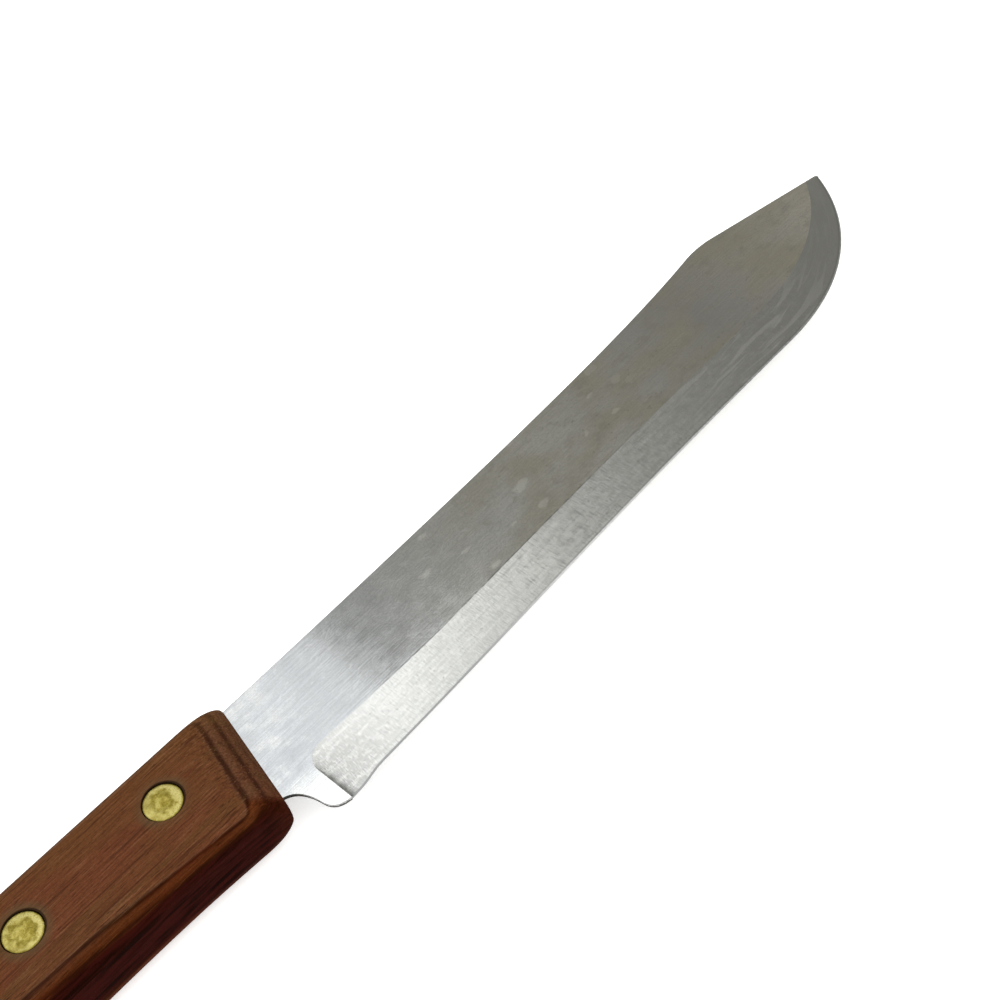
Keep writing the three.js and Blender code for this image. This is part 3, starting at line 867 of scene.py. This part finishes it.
def ground_coordinates(points):
    """For each point, its place along the honed edge and its distance from it, in millimetres.

    The guide runs straight on behind the honed edge, so that the lines stay even over the heel's step.
    """
    honed = EDGE[EDGE[:, 0] > HONED_X]
    chain = np.vstack([(HONED_X - GUIDE_BACK, HONED_Y), (HONED_X, HONED_Y), honed])
    length = np.concatenate([[0], np.cumsum(np.hypot(*np.diff(chain, axis=0).T))])
    places = np.arange(0, length[-1], GUIDE_STEP)
    guide = np.column_stack([np.interp(places, length, part) for part in chain.T])
    ground = np.zeros((len(points), 3))
    for index, point in enumerate(points):
        gap = np.hypot(*(guide - point[:2]).T)
        nearest = gap.argmin()
        along = HONED_X - GUIDE_BACK + places[nearest]
        ground[index] = (along, gap[nearest], math.copysign(SIDE_SHIFT, point[2]))
    return ground


def make_blade():
    stations = blade_stations()
    blade = loft("blade_ground", [blade_ring(x) for x in stations])
    for finish in (flat_steel(), bevel_steel(), honed_steel(), sheared_steel()):
        blade.data.materials.append(finish)
    strips = strip_finishes()
    lower_rim = SPINE_STEPS + FLAT_STEPS + HOLLOW_STEPS + 1
    for index, face in enumerate(blade.data.polygons):
        ring, strip = divmod(index, len(strips))
        if ring >= len(stations) - 1:
            face.material_index = FINISH_SLOTS.index("sheared")
            continue
        finish = strips[strip]
        if stations[ring] < PLUNGE_X:
            finish = "sheared" if strip == lower_rim else UNGROUND.get(finish, finish)
        face.material_index = FINISH_SLOTS.index(finish)
    radius = TUBE_DIAMETER / 2 + HOLE_FIT
    drill = [(0, -STOCK), (radius, -STOCK), (radius, STOCK), (0, STOCK)]
    cut(blade, *[turned("hole", drill, (x, RIVET_Y)) for x in RIVET_X])
    points = np.array([(vertex.co - ORIGIN) / MM for vertex in blade.data.vertices])
    ground = blade.data.attributes.new("ground", "FLOAT_VECTOR", "POINT")
    ground.data.foreach_set("vector", ground_coordinates(points).ravel())
    above_grind = blade.data.attributes.new("above_grind", "FLOAT", "POINT")
    above_grind.data.foreach_set("value", [y - grind_height(max(x, PLUNGE_X)) for x, y, _ in points])
    smooth(blade)
    return blade


# Handle
def handle_belly(x):
    ahead = (x + WAIST) / WAIST
    behind = (x + WAIST) / (HANDLE_LENGTH - WAIST)
    flare = FLARE_FRONT * ahead ** 2 if x > -WAIST else FLARE_BUTT * behind ** 2
    return -TANG_HEIGHT - BELLY_WOOD - flare


def handle_ring(x, half):
    butt = corner_inset(x + HANDLE_LENGTH, BUTT_CORNER)
    top = -corner_inset(-x, NOSE_TOP_CORNER) - butt
    low = handle_belly(x) + corner_inset(-x, NOSE_BELLY_CORNER) + butt
    lean = FRONT_SLANT * clamp(1 + x / SLANT_RUN)
    inset = HALF_HANDLE - half
    upper, lower = top - ROUND_OVER, low + ROUND_OVER
    ring = []
    for quarter, (y, side) in enumerate([(upper, 1), (lower, 1), (lower, -1), (upper, -1)]):
        for turn in np.linspace(quarter, quarter + 1, CORNER_STEPS + 1):
            angle = turn * math.pi / 2
            height = y + ROUND_OVER * math.cos(angle)
            rounding = ROUND_OVER * (1 - abs(math.sin(angle)))
            depth = (inset ** MITRE + rounding ** MITRE) ** (1 / MITRE)
            ring.append((x + lean * height, height, side * (HALF_HANDLE - depth)))
    return ring


def end_rings(length, flat):
    """An elliptical end from its flat to the full thickness: how far in, and the half thickness."""
    start = math.asin(flat / HANDLE_THICKNESS)
    return [
        (length * (1 - math.cos(angle) / math.cos(start)), HALF_HANDLE * math.sin(angle))
        for angle in np.linspace(start, math.pi / 2, END_STEPS + 1)
    ]


def make_handle():
    butt = [handle_ring(inward - HANDLE_LENGTH, half) for inward, half in end_rings(BUTT_LENGTH, BUTT_FLAT)]
    nose = [handle_ring(-inward, half) for inward, half in end_rings(NOSE_LENGTH, NOSE_FLAT)]
    body = np.linspace(BUTT_LENGTH - HANDLE_LENGTH, -NOSE_LENGTH, BODY_STEPS + 1)[1:-1]
    handle = loft("handle_wood", butt + [handle_ring(x, HALF_HANDLE) for x in body] + nose[::-1])
    handle.data.materials.append(layered_wood())
    floor = edge_at(-FRONT_SLANT * TANG_HEIGHT) - SLOT_FLOOR
    half_slot = HALF_STOCK + SLOT_FIT
    section = [(ROUND_OVER, half_slot), (floor, half_slot), (floor, -half_slot), (ROUND_OVER, -half_slot)]
    ends = (-TANG_LENGTH - SLOT_FIT, NOSE_LENGTH)
    slot = loft("slot", [[(x, y, z) for y, z in section] for x in ends])
    seat = HEAD_SEAT - HEAD_FIT
    shank = TUBE_DIAMETER / 2 + HOLE_FIT
    head = HEAD_DIAMETER / 2 + HEAD_FIT
    stepped = [
        (0, -HANDLE_THICKNESS), (head, -HANDLE_THICKNESS), (head, -seat), (shank, -seat),
        (shank, seat), (head, seat), (head, HANDLE_THICKNESS), (0, HANDLE_THICKNESS),
    ]
    cut(handle, slot, *[turned("hole", stepped, (x, RIVET_Y)) for x in RIVET_X])
    smooth(handle)
    return handle


# Rivets
def head_profile(sign):
    radius = HEAD_DIAMETER / 2
    face = HALF_HANDLE - HEAD_SUNK
    profile = [(radius, sign * HEAD_SEAT)]
    for angle in np.linspace(0, math.pi / 2, CHAMFER_STEPS + 1):
        rim = radius - HEAD_CHAMFER + HEAD_CHAMFER * math.cos(angle)
        profile.append((rim, sign * (face - HEAD_CROWN - HEAD_CHAMFER * (1 - math.sin(angle)))))
    for step in range(CROWN_STEPS - 1, 0, -1):
        share = step / CROWN_STEPS
        inside = (radius - HEAD_CHAMFER) * share
        profile.append((inside, sign * (face - HEAD_CROWN * share ** 2)))
    return profile + [(0, sign * face)]


def make_rivet(place, x, brass):
    """The tube half from above and the pin half from below."""
    bore_end = HEAD_SEAT - BORE_FLOOR
    bore = PIN_DIAMETER / 2 + PIN_FIT
    tube = TUBE_DIAMETER / 2
    tube_end = TUBE_END_GAP - HEAD_SEAT
    pin = PIN_DIAMETER / 2
    pin_end = bore_end - PIN_END_GAP
    tube_profile = [(0, bore_end), (bore, bore_end), (bore, tube_end), (tube, tube_end), (tube, HEAD_SEAT)]
    pin_profile = [(pin, -HEAD_SEAT), (pin, pin_end), (0, pin_end)]
    female = turned(f"rivet_tube_{place}", tube_profile + head_profile(1), (x, RIVET_Y))
    male = turned(f"rivet_pin_{place}", head_profile(-1)[::-1] + pin_profile, (x, RIVET_Y))
    for rivet, node in ((female, f"rivet_female_{place}"), (male, f"rivet_male_{place}")):
        rivet.data.materials.append(brass)
        smooth(rivet)
        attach(rivet, "root")
        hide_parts(node)


blade = make_blade()
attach(blade, "root")
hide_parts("blade")

handle = make_handle()
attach(handle, "root")
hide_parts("handle")

brass = filed_brass()
for place, x in zip(RIVET_PLACES, RIVET_X):
    make_rivet(place, x, brass)


# Stage, light and camera
FLOOR_SIZE = 80.0  # metres
FLOOR_COLOUR = srgb(248, 248, 247)
FLOOR_ROUGHNESS = 0.9
FLOOR_GLOW = 0.5  # the floor gives some light itself, so that shadows stay light
SKY_STOPS = [  # share of the way up to the zenith, and the colour of the sky there
    (0.0, srgb(255, 255, 255)),
    (0.25, srgb(216, 216, 213)),
    (0.55, srgb(192, 191, 187)),
]
KEY_HEIGHT = 1.0  # metres, as are the sides of the light panels
KEY_LEFT = -0.7
KEY_FAR = 1.2
KEY_SPLIT = 0.588  # the bevel mirrors the panel on the near side of this line, the flat the other
KEY_NEAR = 0.3
FLAT_KEY_RIGHT = 0.322
FLAT_KEY_GLOW = 1.4  # radiance
BEVEL_KEY_RIGHT = 0.46
BEVEL_KEY_GLOW = 1.95
TOP_LEFT = -1.2
TOP_RIGHT = 0.7
TOP_NEAR = -1.1
TOP_GLOW = 1.35  # a wider, dimmer panel overhead, so that the blade isn't white from above


def make_floor():
    half = FLOOR_SIZE / 2
    corners = [(-half, -half, 0), (half, -half, 0), (half, half, 0), (-half, half, 0)]
    mesh = bpy.data.meshes.new("floor")
    mesh.from_pydata(corners, [], [(0, 1, 2, 3)])
    floor = bpy.data.objects.new("floor", mesh)
    bpy.context.scene.collection.objects.link(floor)
    pale = bpy.data.materials.new("pale_floor")
    pale.use_nodes = True
    shader = pale.node_tree.nodes["Principled BSDF"]
    shader.inputs["Base Color"].default_value = FLOOR_COLOUR
    shader.inputs["Roughness"].default_value = FLOOR_ROUGHNESS
    shader.inputs["Emission Color"].default_value = srgb(255, 255, 255)
    shader.inputs["Emission Strength"].default_value = FLOOR_GLOW
    mesh.materials.append(pale)


def make_softbox(name, glow, left, right, near, far):
    """A level panel of light, as bright as its glow from every point that sees it."""
    data = bpy.data.lights.new(name, "AREA")
    data.shape = "RECTANGLE"
    data.size = right - left
    data.size_y = far - near
    data.energy = glow * math.pi * data.size * data.size_y
    light = bpy.data.objects.new(name, data)
    light.location = ((left + right) / 2, (near + far) / 2, KEY_HEIGHT)
    bpy.context.scene.collection.objects.link(light)


def make_sky():
    """An even studio sky that turns as white as the floor at the horizon."""
    world = bpy.data.worlds.new("studio")
    world.use_nodes = True
    nodes, links = world.node_tree.nodes, world.node_tree.links
    direction = nodes.new("ShaderNodeTexCoord")
    height = nodes.new("ShaderNodeSeparateXYZ")
    sky = nodes.new("ShaderNodeValToRGB")
    fill_ramp(sky, SKY_STOPS)
    links.new(direction.outputs["Generated"], height.inputs["Vector"])
    links.new(height.outputs["Z"], sky.inputs["Fac"])
    links.new(sky.outputs["Color"], nodes["Background"].inputs["Color"])
    bpy.context.scene.world = world


def make_camera():
    azimuth, elevation, roll = map(math.radians, (CAMERA_AZIMUTH, CAMERA_ELEVATION, CAMERA_ROLL))
    forward = Vector((
        math.cos(elevation) * math.cos(azimuth),
        math.cos(elevation) * math.sin(azimuth),
        -math.sin(elevation),
    ))
    level = forward.cross(Vector((0, 0, 1))).normalized()
    right = Matrix.Rotation(-roll, 3, forward) @ level
    up = right.cross(forward)
    turn = Matrix((right, up, -forward)).transposed()
    data = bpy.data.cameras.new("camera")
    data.lens = CAMERA_LENS
    data.sensor_width = CAMERA_SENSOR
    data.clip_start = CAMERA_NEAREST * MM
    camera = bpy.data.objects.new("camera", data)
    camera.matrix_world = Matrix.Translation(in_frame(CAMERA_PLACE)) @ turn.to_4x4()
    bpy.context.scene.collection.objects.link(camera)
    bpy.context.scene.camera = camera


make_floor()
make_sky()
make_softbox("flat_key", FLAT_KEY_GLOW, KEY_LEFT, FLAT_KEY_RIGHT, KEY_SPLIT, KEY_FAR)
make_softbox("bevel_key", BEVEL_KEY_GLOW, KEY_LEFT, BEVEL_KEY_RIGHT, KEY_NEAR, KEY_SPLIT)
make_softbox("top", TOP_GLOW, TOP_LEFT, TOP_RIGHT, TOP_NEAR, KEY_NEAR)
make_camera()
bpy.context.scene.view_settings.view_transform = "Standard"
